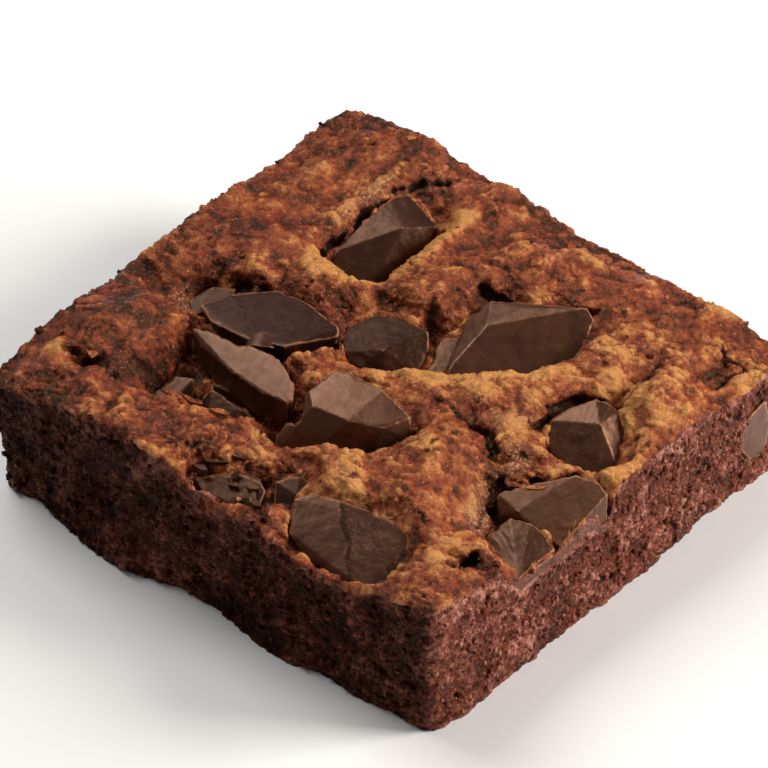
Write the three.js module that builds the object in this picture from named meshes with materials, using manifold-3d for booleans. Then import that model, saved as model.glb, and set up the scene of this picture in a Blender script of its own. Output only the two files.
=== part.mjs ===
// A square of chocolate brownie with big pieces of dark chocolate sunk in its crust.
// Millimetres, +Z up. The brownie rests on z = 0, with the origin under its middle.
// +X runs along the longer cut side, and -Y is the front.

import * as THREE from "three";
import { ConvexGeometry } from "three/addons/geometries/ConvexGeometry.js";
import { mergeVertices } from "three/addons/utils/BufferGeometryUtils.js";
import Module from "manifold-3d";

// Driving dimensions of the slab.
const LENGTH = 74.4; // along X, before the cut sides' crumbs stand proud
const WIDTH = 69.6; // along Y
const HEIGHT = 19; // from the base to the plain crust
const CELL = 1.4; // size of a facet
const SIDE_ROWS = 6; // rows of facets up a cut side
const GAP = 0.3; // between the crumb and a piece of chocolate

// The cut edges.
const EDGE_BAND = 3.5; // width over which a cut edge's wobble fades out on the crust
const RIM_BAND = 6; // width over which the crust climbs to a rim's own height
const SHELF_EDGE = 1.4; // width over which the crumb under a piece falls away beside it
const CORNER_LIFT = 0.42; // part of the height over which a corner takes its crust's radius
const CRUMB_LEVELS = [
  { size: 9, depth: 0.4, seed: 11 },
  { size: 3.6, depth: 0.3, seed: 12 },
];
// Radii of each upright corner at the base and at the crust.
const CORNER_RADII = { "--": [9, 3], "+-": [1.6, 1.6], "-+": [5, 4.5], "++": [3, 3] };
// Height of the crust along each cut edge, as pairs of distance along the edge and height.
const RIMS = {
  left: [[-35, 17], [-26, 18.6], [-20, 19.8], [-14, 18.8], [-2, 19.6], [11, 19.8], [23, 18.9],
    [35, 19.4]],
  back: [[-37, 19.4], [-31, 20.3], [-25, 21.2], [-14, 20.5], [2, 18.8], [13, 18.1], [18, 18.6],
    [37, 17.2]],
  front: [[-37, 16.8], [-27, 19], [-20, 20.6], [-12, 21], [-5, 19.6], [2, 18], [8, 17.3], [16, 17.4],
    [29, 18.9], [37, 20]],
  right: [[-35, 19.8], [-27, 19.5], [-18, 17.3], [-10, 16.4], [-1, 16.9], [6, 18.3], [17, 18.8], [29, 17]],
};
// How far the base stands out past the crust along the front and the right edge.
const FEET = {
  front: [[-35, -0.6], [-30, -0.4], [-24, 0.9], [-19, 1.9], [-13, 2.3], [-8, 1.6], [-4, -0.2],
    [3, 0.2], [8, 1.5], [14, 2], [19, 0.6], [24, 1], [30, 0.4], [37, 0]],
  right: [[-35, 0], [5, 0.5], [12, 0], [18, -0.7], [24, -0.4], [31, -0.8]],
};

// The crust's own unevenness.
const CRUST_LEVELS = [
  { size: 7, depth: 0.45, seed: 21 },
  { size: 3.2, depth: 0.28, seed: 22 },
];

// Swells (rise > 0) and hollows (rise < 0) of the crust: middle, half sizes, turn in degrees, rise.
const SWELLS = [
  // Back left, behind and beside the sunk piece.
  { at: [-31, 18], half: [9, 14], turn: 0, rise: 1.0 },
  { at: [-23, 33], half: [9, 5], turn: 0, rise: 1.7 },
  { at: [-11, 30], half: [7, 5], turn: 0, rise: 1.0 },
  { at: [-8, 18], half: [1.8, 9], turn: 8, rise: 1.0 },
  { at: [-13, 6], half: [8, 2.2], turn: 4, rise: 1.3 },
  { at: [-12.5, 10], half: [4, 2.6], turn: 40, rise: -2.4 },
  { at: [-22, 10], half: [2.2, 12], turn: -8, rise: 1.0 },
  // Back middle and right.
  { at: [3.5, 22.5], half: [6.5, 6], turn: -10, rise: 2.4 },
  { at: [-3.5, 13], half: [3.6, 8], turn: -20, rise: 1.6 },
  { at: [19, 29], half: [10, 4], turn: -5, rise: 0.6 },
  { at: [33, 25], half: [2.2, 3.5], turn: 10, rise: -2.4 },
  { at: [21.5, 15.5], half: [5, 4], turn: -20, rise: 2.0 },
  { at: [31.5, 16.5], half: [4, 4.5], turn: 0, rise: 1.6 },
  { at: [27, 15], half: [0.9, 5], turn: 10, rise: -2.6 },
  { at: [35, 7], half: [2.5, 4], turn: 0, rise: 0.8 },
  // Left.
  { at: [-30, 1], half: [8, 6], turn: 0, rise: 1.1 },
  { at: [-34, -8], half: [5, 2.2], turn: 15, rise: -1.8 },
  { at: [-30, -18], half: [8, 6], turn: -10, rise: 2.0 },
  { at: [-28, -26.5], half: [2.6, 1.3], turn: 30, rise: -2.4 },
  { at: [-17, -29], half: [10, 3], turn: -4, rise: 1.6 },
  { at: [-5.5, -28.5], half: [4.5, 4], turn: 0, rise: 1.6 },
  // Middle and right.
  { at: [16, 1], half: [7, 5], turn: 35, rise: 1.1 },
  { at: [17.5, -10.5], half: [6, 6.5], turn: 10, rise: 1.8 },
  { at: [20, -5], half: [9, 0.9], turn: -24, rise: -1.5 },
  { at: [19.5, -20], half: [6, 4], turn: -10, rise: 1.3 },
  { at: [27, -16], half: [2.2, 6], turn: 15, rise: -1.8 },
  { at: [34, -31], half: [4.5, 3.5], turn: 0, rise: 1.4 },
  { at: [33.5, -24], half: [3, 1.2], turn: 10, rise: -1.6 },
  { at: [10.5, -22], half: [5, 2.6], turn: -15, rise: 0.9 },
];

// Pieces of chocolate. corners are the points of the broken piece that shows. foot is the level that
// it reaches down to, where its outline is flare times as large. sink and tilt give the crust's level
// where it meets the piece, reach is the distance over which the crust climbs back from there, and
// shelf is the crumb that carries the piece. A piece that passes x = 38 is cut off with the right side.
const CHUNKS = [
  {
    name: "chunk_back",
    corners: [
      [-20.2, 10.8, 15.6], [-19.8, 12.4, 17.4], [-19.7, 18.5, 19.2],
      [-19.6, 22.9, 19.8], [-18.8, 25.8, 19.6], [-12.4, 24.2, 18.4],
      [-11.6, 22.6, 14.6], [-11.7, 18.6, 14.2], [-12.4, 14.6, 13.6],
      [-13.8, 11.9, 14.2], [-17.6, 10.2, 15], [-14.8, 20, 19.4],
    ],
    foot: 9,
    flare: 1,
    sink: 16.2,
    tilt: [-0.45, 0.2],
    reach: 2.6,
  },
  {
    name: "chunk_slab",
    corners: [
      [-24, -9, 19.6], [-22, -4.7, 19.9], [-18, -0.9, 20.2],
      [-13.1, -0.6, 20.6], [-6.5, -2, 20.9], [-5.9, -2.9, 20.4],
      [-9.3, -9.4, 21], [-14.3, -11, 20.6], [-20.4, -10.8, 19.9],
    ],
    foot: 18.2,
    flare: 0.95,
    sink: 15.6,
    tilt: [0, 0.14],
    reach: 2.6,
    shelf: 17.6,
  },
  {
    name: "chunk_left",
    corners: [
      [-21.4, -13.2, 19.9], [-18, -12.2, 20.4], [-13.4, -12.3, 21],
      [-7.6, -12.3, 21.8], [-3.2, -14.5, 21.4], [-1.9, -16.2, 20.8],
      [-2.2, -17, 20.4], [-6.1, -17, 19.9], [-12.3, -16.2, 19.6],
      [-19, -14.6, 19.3],
    ],
    foot: 15.6,
    flare: 1.02,
    sink: 14,
    tilt: [0.03, 0.05],
    reach: 3.2,
    shelf: 15.2,
  },
  {
    name: "chunk_front",
    corners: [
      [-0.9, -14.2, 21.4], [-0.4, -10, 22.2], [1.3, -9, 22.3],
      [6.5, -8.6, 21.9], [11.6, -9.2, 20.7], [10.2, -12.8, 20.5],
      [6.1, -15, 20.9], [1.2, -16, 21.1], [-2.2, -19.2, 16],
      [-1.4, -20.2, 14.6], [2.4, -19.8, 13.6], [5.2, -17.6, 13.6],
      [9, -14.6, 14.6], [11.6, -10.9, 18.6],
    ],
    foot: 11.5,
    flare: 1,
    sink: 15,
    tilt: [0.2, 0.16],
    reach: 2.4,
  },
  {
    name: "chunk_low",
    corners: [
      [-8.9, 2.5, 17.2], [-7.1, 6, 17.8], [-3.8, 7.2, 18.2],
      [0.6, 7.1, 18.4], [1.9, 5.6, 17.2], [2.7, 2.4, 15.4],
      [0.4, -1.4, 14.8], [-3.8, -2.6, 15.2], [-7, -1.2, 16.2],
      [-1.6, 0.8, 18.2],
    ],
    foot: 11.5,
    flare: 1,
    sink: 16,
    tilt: [0, 0.3],
    reach: 3,
  },
  {
    name: "chunk_wedge",
    corners: [
      [1.6, 8.8, 17], [3.2, 9.9, 17.2], [4.6, 7.6, 16.4],
      [6, 4.2, 15], [5.6, 1.6, 14.6], [3.6, 0.6, 14.6],
    ],
    foot: 11.5,
    flare: 1,
    sink: 15.2,
    tilt: [0, 0.12],
    reach: 2,
  },
  {
    name: "chunk_right",
    corners: [
      [3.2, 9.6, 17.4], [2.6, 12.6, 18.4], [3.6, 15.9, 19.6],
      [8.3, 17.2, 20.2], [14.4, 22, 20.4], [15.9, 21.6, 19.5],
      [17.2, 17.4, 16.8], [17, 14.4, 14.8], [14.4, 9.8, 14.8],
      [10.4, 5, 15], [7.4, 2.8, 15.2], [6, 4.8, 16.8],
      [6.4, 11.6, 19.6],
    ],
    foot: 10.5,
    flare: 1,
    sink: 16.2,
    tilt: [-0.05, 0.2],
    reach: 2,
  },
  {
    name: "chunk_far_right",
    corners: [
      [23.6, 2.8, 16.6], [23, 4.4, 17.8], [24, 6.9, 18.7],
      [26, 9.8, 19.5], [27.2, 10.4, 19.2], [28.9, 10.9, 18.2],
      [30.8, 10, 16.6], [34, 4.8, 14.8], [32.4, 2.2, 14.6],
      [28.3, 1, 14.6], [26, 1, 14.8], [29, 6.8, 19],
    ],
    foot: 10.5,
    flare: 1,
    sink: 16,
    tilt: [-0.05, 0.24],
    reach: 2,
  },
  {
    name: "chunk_edge",
    corners: [
      [26.5, -10.2, 17.2], [29.7, -6.3, 18.2], [32.9, -2.5, 18.8],
      [35.4, -1.4, 18.3], [38, -1.6, 17.2], [38, -8, 15.4],
      [38, -10.6, 14.6], [31.6, -11.2, 16.6], [28.1, -11.6, 15.6],
      [30.5, -11, 17.2],
    ],
    foot: 12.6,
    flare: 1,
    sink: 16,
    tilt: [-0.05, 0.1],
    reach: 2,
  },
  {
    name: "chunk_edge_small",
    corners: [
      [29.4, -15.4, 15.4], [30.6, -12.6, 17.1], [33.1, -11.4, 17],
      [35.4, -11.4, 16], [38, -12, 14.8], [38, -19.6, 14.6],
      [35, -18.4, 14.4], [31.2, -17.4, 14.4],
    ],
    foot: 12.6,
    flare: 1,
    sink: 15.2,
    tilt: [0, 0],
    reach: 2,
  },
  {
    name: "chunk_corner",
    corners: [
      [9.4, -28.8, 18.9], [10.4, -27, 19.3], [14, -25.6, 19.2],
      [17.9, -24.6, 19], [21.9, -24, 18.8], [23.9, -24, 18.2],
      [25.9, -26.4, 16.4], [26.4, -30.6, 14.8], [25.2, -32.6, 14.8],
      [20.4, -33.2, 15.2], [14.7, -33.3, 15.8], [11.6, -32.4, 17.2],
    ],
    foot: 10.5,
    flare: 1,
    sink: 16.4,
    tilt: [0, 0.24],
    reach: 2,
  },
  {
    name: "chunk_sunk",
    corners: [
      [-15.3, -18.3, 15.2], [-14.5, -17.4, 16.2], [-9.5, -17.3, 15.8],
      [-7.5, -17.2, 15], [-7, -18.9, 14.2], [-8.8, -20.5, 13.8],
      [-12, -21.1, 14],
    ],
    foot: 10.5,
    flare: 1,
    sink: 13.6,
    tilt: [0, -0.1],
    reach: 3,
  },
  {
    name: "chunk_leaf",
    corners: [
      [-20.4, -21.8, 15.2], [-19.5, -18.6, 16.4], [-17.2, -17.6, 16.6],
      [-16.2, -18.7, 15.6], [-16.2, -20.6, 14.8], [-17.8, -23, 14.6],
    ],
    foot: 12,
    flare: 1,
    sink: 14.4,
    tilt: [0, 0],
    reach: 3,
  },
  {
    name: "chunk_flake",
    corners: [
      [-3.8, -32.6, 17.4], [-0.4, -29.6, 18.3], [3.2, -28.4, 18.4],
      [4.9, -29.1, 17.9], [5.5, -31.2, 16.8], [2.5, -33, 16.6],
      [-1.8, -33.4, 16.9],
    ],
    foot: 13.5,
    flare: 0.96,
    sink: 16.6,
    tilt: [0, 0.1],
    reach: 1.8,
  },
  {
    name: "chunk_sliver",
    corners: [
      [4.6, -27, 17.9], [6.4, -24.6, 18.3], [7.9, -24, 18.1],
      [8.3, -26.8, 17.4], [8.5, -29, 15.8], [6.6, -29.6, 15.8],
    ],
    foot: 12,
    flare: 1,
    sink: 16.6,
    tilt: [0, 0.15],
    reach: 1.8,
  },
  {
    name: "chunk_hidden",
    corners: [
      [-28.2, -6.6, 16.6], [-27, -3.3, 17.5], [-24.2, -1.8, 17.7],
      [-23.8, -3.8, 17.2], [-26, -8, 16.4],
    ],
    foot: 12,
    flare: 1,
    sink: 16,
    tilt: [0, 0.1],
    reach: 2.2,
  },
  {
    name: "chunk_cut",
    corners: [
      [38, 25.4, 9.6], [38, 26.6, 11.8], [38, 30.4, 12.6],
      [38, 31.6, 7], [38, 30.6, 3], [38, 27, 3.8],
      [38, 25.2, 6.6], [32, 27, 9.6], [32, 30.4, 9],
      [32, 29.4, 5],
    ],
  },
];

const CRUMB = { color: new THREE.Color(0.25, 0.1, 0.05), roughness: 0.72 };
const CHOCOLATE = { color: new THREE.Color(0.06, 0.025, 0.018), roughness: 0.4 };

const ease = (t) => {
  const u = THREE.MathUtils.clamp(t, 0, 1);
  return u * u * (3 - 2 * u);
};

// A repeatable number from -1 to 1 for each point of a lattice.
function latticeValue(i, j, k, seed) {
  const s = Math.sin(i * 127.1 + j * 311.7 + k * 74.7 + seed * 19.19) * 43758.5453;
  return 2 * (s - Math.floor(s)) - 1;
}

// Smooth noise from -1 to 1 at a point, with lumps of the given size.
function lumps(x, y, z, size, seed) {
  const p = [x / size, y / size, z / size];
  const cell = p.map(Math.floor);
  const f = p.map((v, n) => ease(v - cell[n]));
  let sum = 0;
  for (let corner = 0; corner < 8; corner++) {
    const d = [corner & 1, (corner >> 1) & 1, corner >> 2];
    const weight = d.reduce((w, bit, n) => w * (bit ? f[n] : 1 - f[n]), 1);
    sum += weight * latticeValue(cell[0] + d[0], cell[1] + d[1], cell[2] + d[2], seed);
  }
  return sum;
}

const lumpySum = (x, y, z, levels) =>
  levels.reduce((sum, { size, depth, seed }) => sum + depth * lumps(x, y, z, size, seed), 0);

// How far a swell lifts the crust at a point.
function swellAt(x, y, { at, half, turn, rise }) {
  const a = THREE.MathUtils.degToRad(turn);
  const dx = x - at[0];
  const dy = y - at[1];
  const u = (dx * Math.cos(a) + dy * Math.sin(a)) / half[0];
  const v = (dy * Math.cos(a) - dx * Math.sin(a)) / half[1];
  return rise * Math.exp(-(u * u + v * v));
}

// The convex outline, seen from above, of a set of points.
function outlineOf(points) {
  const sorted = points.map(([x, y]) => [x, y]).sort((a, b) => a[0] - b[0] || a[1] - b[1]);
  const turnsRight = (o, a, b) =>
    (a[0] - o[0]) * (b[1] - o[1]) - (a[1] - o[1]) * (b[0] - o[0]) <= 0;
  const half = (list) => {
    const chain = [];
    for (const p of list) {
      while (chain.length > 1 && turnsRight(chain.at(-2), chain.at(-1), p)) chain.pop();
      chain.push(p);
    }
    return chain.slice(0, -1);
  };
  return [...half(sorted), ...half(sorted.reverse())];
}

const middleOf = (outline) =>
  outline
    .reduce(([sx, sy], [x, y]) => [sx + x, sy + y], [0, 0])
    .map((sum) => sum / outline.length);

// Distance from a point to an outline, 0 inside it.
function distanceOutside(x, y, outline) {
  let inside = true;
  let nearest = Infinity;
  outline.forEach(([ax, ay], n) => {
    const [bx, by] = outline[(n + 1) % outline.length];
    const [ex, ey] = [bx - ax, by - ay];
    const t = THREE.MathUtils.clamp(
      ((x - ax) * ex + (y - ay) * ey) / (ex * ex + ey * ey), 0, 1);
    nearest = Math.min(nearest, Math.hypot(x - ax - t * ex, y - ay - t * ey));
    if (ex * (y - ay) - ey * (x - ax) < 0) inside = false;
  });
  return inside ? 0 : nearest;
}

// Value of a line of straight steps, given as pairs, at t.
function along(pairs, t) {
  const next = pairs.findIndex(([at]) => at > t);
  if (next < 0) return pairs.at(-1)[1];
  if (next === 0) return pairs[0][1];
  const [[a, from], [b, to]] = pairs.slice(next - 1, next + 1);
  return THREE.MathUtils.lerp(from, to, (t - a) / (b - a));
}

const SOCKETS = CHUNKS.filter(({ sink }) => sink).map((chunk) => {
  const outline = outlineOf(chunk.corners);
  const middle = middleOf(outline);
  return { ...chunk, outline, middle };
});

// Height of the crust with no chocolate in it.
function plainCrustAt(x, y) {
  const crust = HEIGHT + SWELLS.reduce((sum, swell) => sum + swellAt(x, y, swell), 0);
  const rims = [
    [LENGTH / 2 + x, along(RIMS.left, y)],
    [LENGTH / 2 - x, along(RIMS.right, y)],
    [WIDTH / 2 + y, along(RIMS.front, x)],
    [WIDTH / 2 - y, along(RIMS.back, x)],
  ].map(([inside, rim]) => [1 - ease(inside / RIM_BAND), rim]);
  const pull = Math.max(...rims.map(([weight]) => weight));
  const total = rims.reduce((sum, [weight]) => sum + weight, 0) || 1;
  const rim = rims.reduce((sum, [weight, z]) => sum + weight * z, 0) / total;
  return THREE.MathUtils.lerp(crust, rim, pull) + lumpySum(x, y, 0, CRUST_LEVELS);
}

// Height of the crust over a point of the base.
function crustAt(x, y) {
  const reaches = SOCKETS.map((socket) => ({
    ...socket,
    away: distanceOutside(x, y, socket.outline),
  })).filter(({ away, reach }) => away < reach);
  const plain = plainCrustAt(x, y);
  const open = reaches.reduce((level, { middle, sink, tilt, reach, away }) => {
    const floor = sink + tilt[0] * (x - middle[0]) + tilt[1] * (y - middle[1]);
    return Math.min(level, THREE.MathUtils.lerp(floor, plain, ease(away / reach)));
  }, plain);
  return reaches.reduce(
    (level, { shelf, away }) =>
      shelf ? Math.max(level, THREE.MathUtils.lerp(shelf, open, ease(away / SHELF_EDGE))) : level,
    open);
}

// Rounds the slab's upright corners: a corner's square becomes a quarter of a disc.
function roundCorner(x, y, up) {
  const [sx, sy] = [Math.sign(x) || 1, Math.sign(y) || 1];
  const radii = CORNER_RADII[(sx < 0 ? "-" : "+") + (sy < 0 ? "-" : "+")];
  const r = THREE.MathUtils.lerp(...radii, ease(up / CORNER_LIFT));
  const dx = Math.abs(x) - (LENGTH / 2 - r);
  const dy = Math.abs(y) - (WIDTH / 2 - r);
  if (dx <= 0 || dy <= 0) return [x, y];
  const pull = Math.max(dx, dy) / Math.hypot(dx, dy);
  return [sx * (LENGTH / 2 - r + dx * pull), sy * (WIDTH / 2 - r + dy * pull)];
}

// Where a point of the plain slab ends up in the baked and cut one.
function baked(x0, y0, z0) {
  const edgeX = ease(1 - (LENGTH / 2 - Math.abs(x0)) / EDGE_BAND);
  const edgeY = ease(1 - (WIDTH / 2 - Math.abs(y0)) / EDGE_BAND);
  const up = z0 / HEIGHT;
  const [xr, yr] = roundCorner(x0, y0, up);
  const wobble = lumpySum(x0, y0, z0, CRUMB_LEVELS);
  const footX = x0 > 0 ? along(FEET.right, y0) : 0;
  const footY = y0 < 0 ? along(FEET.front, x0) : 0;
  const x = xr + Math.sign(x0) * edgeX * (wobble + footX * (1 - up) ** 2);
  const y = yr + Math.sign(y0) * edgeY * (wobble + footY * (1 - up) ** 1.5);
  return [x, y, up * crustAt(xr, yr)];
}

// A closed geometry with only positions, each shared by the faces that meet there.
function welded(geometry) {
  const bare = geometry.clone();
  for (const name of ["normal", "uv"]) bare.deleteAttribute(name);
  return mergeVertices(bare, 1e-4);
}

// The slab as a box of even facets, but with a fan of facets from the middle as its flat base.
function slabGeometry() {
  const box = new THREE.BoxGeometry(
    LENGTH, WIDTH, HEIGHT,
    Math.round(LENGTH / CELL), Math.round(WIDTH / CELL), SIDE_ROWS);
  box.translate(0, 0, HEIGHT / 2);
  const place = box.getAttribute("position");
  for (let i = 0; i < place.count; i++) {
    const [x, y, z] = [place.getX(i), place.getY(i), place.getZ(i)];
    const inBase =
      z < 0.01 && Math.abs(x) < LENGTH / 2 - 0.01 && Math.abs(y) < WIDTH / 2 - 0.01;
    place.setXYZ(i, ...(inBase ? [0, 0, 0] : baked(x, y, z)));
  }
  const slab = welded(box);
  const facets = [];
  for (let i = 0; i < slab.index.count; i += 3) {
    const [a, b, c] = slab.index.array.slice(i, i + 3);
    if (a !== b && b !== c && c !== a) facets.push(a, b, c);
  }
  return slab.setIndex(facets);
}

// The broken piece's corners, with its outline repeated at its foot.
function chunkPoints({ corners, foot, flare }) {
  const points = corners.map((c) => new THREE.Vector3(...c));
  if (foot === undefined) return points;
  const outline = outlineOf(corners);
  const middle = middleOf(outline);
  const below = outline.map(([x, y]) => new THREE.Vector3(
    middle[0] + (x - middle[0]) * flare, middle[1] + (y - middle[1]) * flare, foot));
  return [...points, ...below];
}

// The same points moved out from their middle. A face slanted by up to 54 degrees moves out too
// little by its cosine, so the points move further than the gap.
function spread(points, gap) {
  const box = new THREE.Box3().setFromPoints(points);
  const middle = box.getCenter(new THREE.Vector3());
  const half = box.getSize(new THREE.Vector3()).multiplyScalar(0.5);
  const furthest = gap / Math.cos(THREE.MathUtils.degToRad(54));
  const grow = 1 + furthest / Math.min(half.x, half.y, half.z);
  return points.map((p) => p.clone().sub(middle).multiplyScalar(grow).add(middle));
}

const wasm = await Module();
wasm.setup();

function solidOf(geometry) {
  const shared = welded(geometry);
  return new wasm.Manifold(new wasm.Mesh({
    numProp: 3,
    vertProperties: shared.getAttribute("position").array,
    triVerts: new Uint32Array(shared.index.array),
  }));
}

function geometryOf(solid) {
  const { vertProperties, triVerts } = solid.getMesh();
  const geometry = new THREE.BufferGeometry();
  geometry.setAttribute("position", new THREE.BufferAttribute(vertProperties, 3));
  geometry.setIndex(new THREE.BufferAttribute(triVerts, 1));
  geometry.computeVertexNormals();
  return geometry;
}

const largestOf = (solid) =>
  solid.decompose().reduce((a, b) => (a.volume() > b.volume() ? a : b));

function meshOf(name, solid, look) {
  const mesh = new THREE.Mesh(geometryOf(solid), new THREE.MeshStandardMaterial(look));
  mesh.name = name;
  return mesh;
}

// The pieces of chocolate, each cut back from those before it, and the room that they take.
let room = null;
let crumb = solidOf(slabGeometry());
const beyondCut = new THREE.BoxGeometry(LENGTH, 2 * WIDTH, 4 * HEIGHT).translate(LENGTH, 0, 0);
const cutOff = solidOf(beyondCut);
const solids = CHUNKS.map((chunk) => {
  const points = chunkPoints(chunk);
  const whole = solidOf(new ConvexGeometry(points)).subtract(cutOff);
  const solid = room ? largestOf(whole.subtract(room)) : whole;
  const around = solidOf(new ConvexGeometry(spread(points, GAP)));
  room = room ? room.add(around) : around;
  crumb = crumb.subtract(around);
  return [chunk.name, solid, CHOCOLATE];
});
solids.push(["brownie", largestOf(crumb), CRUMB]);

const brownie = new THREE.Group();
for (const [name, solid, look] of solids) brownie.add(meshOf(name, solid, look));

// The origin is under the middle of the whole.
const middle = new THREE.Box3().setFromObject(brownie).getCenter(new THREE.Vector3());
for (const mesh of brownie.children) mesh.geometry.translate(-middle.x, -middle.y, 0);

export default brownie;
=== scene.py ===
"""Looks of a square of chocolate brownie with broken chocolate sunk in its crust.

The CAD slab is resampled as one fine closed skin, which gets the crust's wrinkles, cracks and pits
and the cut sides' crumb. Each CAD piece of chocolate becomes a fine mesh with worn edges. Lengths
are in millimetres until a mesh is made.
"""

import math
from itertools import product

import bmesh
import bpy
import numpy as np
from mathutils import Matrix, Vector
from mathutils.bvhtree import BVHTree


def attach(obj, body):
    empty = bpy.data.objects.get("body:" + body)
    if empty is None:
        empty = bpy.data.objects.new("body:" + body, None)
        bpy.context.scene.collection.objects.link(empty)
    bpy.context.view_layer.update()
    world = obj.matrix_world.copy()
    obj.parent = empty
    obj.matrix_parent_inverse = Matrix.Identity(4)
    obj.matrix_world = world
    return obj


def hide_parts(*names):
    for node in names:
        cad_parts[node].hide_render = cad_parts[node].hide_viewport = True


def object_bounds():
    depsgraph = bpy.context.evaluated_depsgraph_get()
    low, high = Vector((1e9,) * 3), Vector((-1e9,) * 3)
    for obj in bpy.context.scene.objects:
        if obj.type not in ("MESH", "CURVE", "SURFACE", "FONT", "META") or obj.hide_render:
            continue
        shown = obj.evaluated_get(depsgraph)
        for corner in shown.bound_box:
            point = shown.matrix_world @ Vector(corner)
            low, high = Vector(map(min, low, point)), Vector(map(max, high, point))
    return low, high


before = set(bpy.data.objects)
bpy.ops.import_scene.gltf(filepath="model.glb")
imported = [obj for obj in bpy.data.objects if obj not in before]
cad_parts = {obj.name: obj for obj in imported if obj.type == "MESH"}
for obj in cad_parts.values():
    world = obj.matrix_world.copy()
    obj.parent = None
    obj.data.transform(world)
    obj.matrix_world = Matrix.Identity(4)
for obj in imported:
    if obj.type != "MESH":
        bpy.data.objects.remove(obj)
CAD_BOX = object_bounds()

MM = 0.001
SLAB = "brownie"
CHUNKS = sorted(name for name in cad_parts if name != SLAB)

STEP = 0.22  # between the skin's points on the crust
ROWS = 84  # of them up a cut side
RASTER = 0.3  # cell of the crust's height field
NOTHING = 99.0  # stands for a distance to nothing

# The camera. Its target is the middle of the picture.
VIEW_AZIMUTH, VIEW_ELEVATION = 40.7, 40.1
VIEW_DISTANCE = 900.0
VIEW_LENS = 331.0
VIEW_TARGET = (-1.882, 1.985, 12.279)


# -------- noise

def hashed(i, j, k, seed):
    """A repeatable whole number from 0 to 65535 for each point of a lattice."""
    h = i * 73856093 ^ j * 19349663 ^ k * 83492791 ^ (seed + 1) * 40503
    h = (h ^ (h >> 13)) * 1274126177 & 0xFFFFFFFF
    h = (h ^ (h >> 15)) * 668265263 & 0xFFFFFFFF
    return (h ^ (h >> 16)) & 0xFFFF


def corner_slope(h, f):
    """Dot product of an offset f with one of a sphere's directions, picked by h."""
    turn = (h & 0xFF) * (2 * math.pi / 256)
    z = (h >> 8) / 127.5 - 1
    r = np.sqrt(1 - z * z)
    return f[0] * r * np.cos(turn) + f[1] * r * np.sin(turn) + f[2] * z


def noise(p, size, seed):
    """Smooth noise, about -1 to 1, with lumps of the given size. p is (n, 3)."""
    q = p / size
    cell = np.floor(q).astype(np.int64)
    f = (q - cell).T
    w = f * f * f * (f * (6 * f - 15) + 10)
    i, j, k = cell.T
    total = np.zeros(len(p))
    for a, b, c in product((0, 1), repeat=3):
        share = (w[0] if a else 1 - w[0]) * (w[1] if b else 1 - w[1]) * (w[2] if c else 1 - w[2])
        offset = (f[0] - a, f[1] - b, f[2] - c)
        total += share * corner_slope(hashed(i + a, j + b, k + c, seed), offset)
    return total * 1.6


def fractal(p, size, octaves, seed, keep=0.5):
    """Noise of several sizes, each half the last and keep times as strong."""
    total, strength, whole = np.zeros(len(p)), 1.0, 0.0
    for n in range(octaves):
        total += strength * noise(p, size / 2**n, seed + 17 * n)
        whole += strength
        strength *= keep
    return total / whole * 1.4


def pillows(p, size, octaves, seed):
    """Rounded bumps parted by sharp creases, from 0 in the creases to about 1."""
    total, strength, whole = np.zeros(len(p)), 1.0, 0.0
    for n in range(octaves):
        total += strength * np.abs(noise(p, size / 2**n, seed + 23 * n))
        whole += strength
        strength *= 0.5
    return np.minimum(total / whole * 1.7, 1.3)


def grains(p, size, seed):
    """Distance to the nearest of scattered points, in units of size."""
    q = p / size
    cell = np.floor(q).astype(np.int64)
    near = np.full(len(p), 9.0)
    for beside in product((-1, 0, 1), repeat=3):
        corner = (cell + beside).T
        spot = np.stack([
            along + hashed(*corner, seed + n) / 65535 for n, along in enumerate(corner)], 1)
        near = np.minimum(near, ((spot - q) ** 2).sum(1))
    return np.sqrt(near)


def ramp(value, low, high):
    t = np.clip((value - low) / (high - low), 0, 1)
    return t * t * (3 - 2 * t)


def warped(p, size, reach, seed):
    """p moved about by noise, so that what is drawn with it wanders."""
    return p + reach * np.stack([noise(p, size, seed + n) for n in range(3)], 1)


# -------- reading the CAD

def mesh_of(names):
    """Vertices in mm and polygons of CAD nodes, joined."""
    vertices, polygons = [], []
    for name in names:
        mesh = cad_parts[name].data
        start = len(vertices)
        vertices += [v.co / MM for v in mesh.vertices]
        polygons += [[start + i for i in p.vertices] for p in mesh.polygons]
    return vertices, polygons


def tree_of(names):
    return BVHTree.FromPolygons(*mesh_of(names))


def blurred(values, cells):
    """values blurred along both axes by a bell of that many cells."""
    reach = max(1, int(3 * cells))
    x = np.arange(-reach, reach + 1)
    bell = np.exp(-0.5 * (x / cells) ** 2)
    bell /= bell.sum()
    for axis in (0, 1):
        padded = np.pad(values, [(reach, reach) if n == axis else (0, 0) for n in (0, 1)], "edge")
        size = values.shape[axis]
        values = sum(
            w * np.take(padded, range(n, n + size), axis) for n, w in enumerate(bell))
    return values


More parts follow.
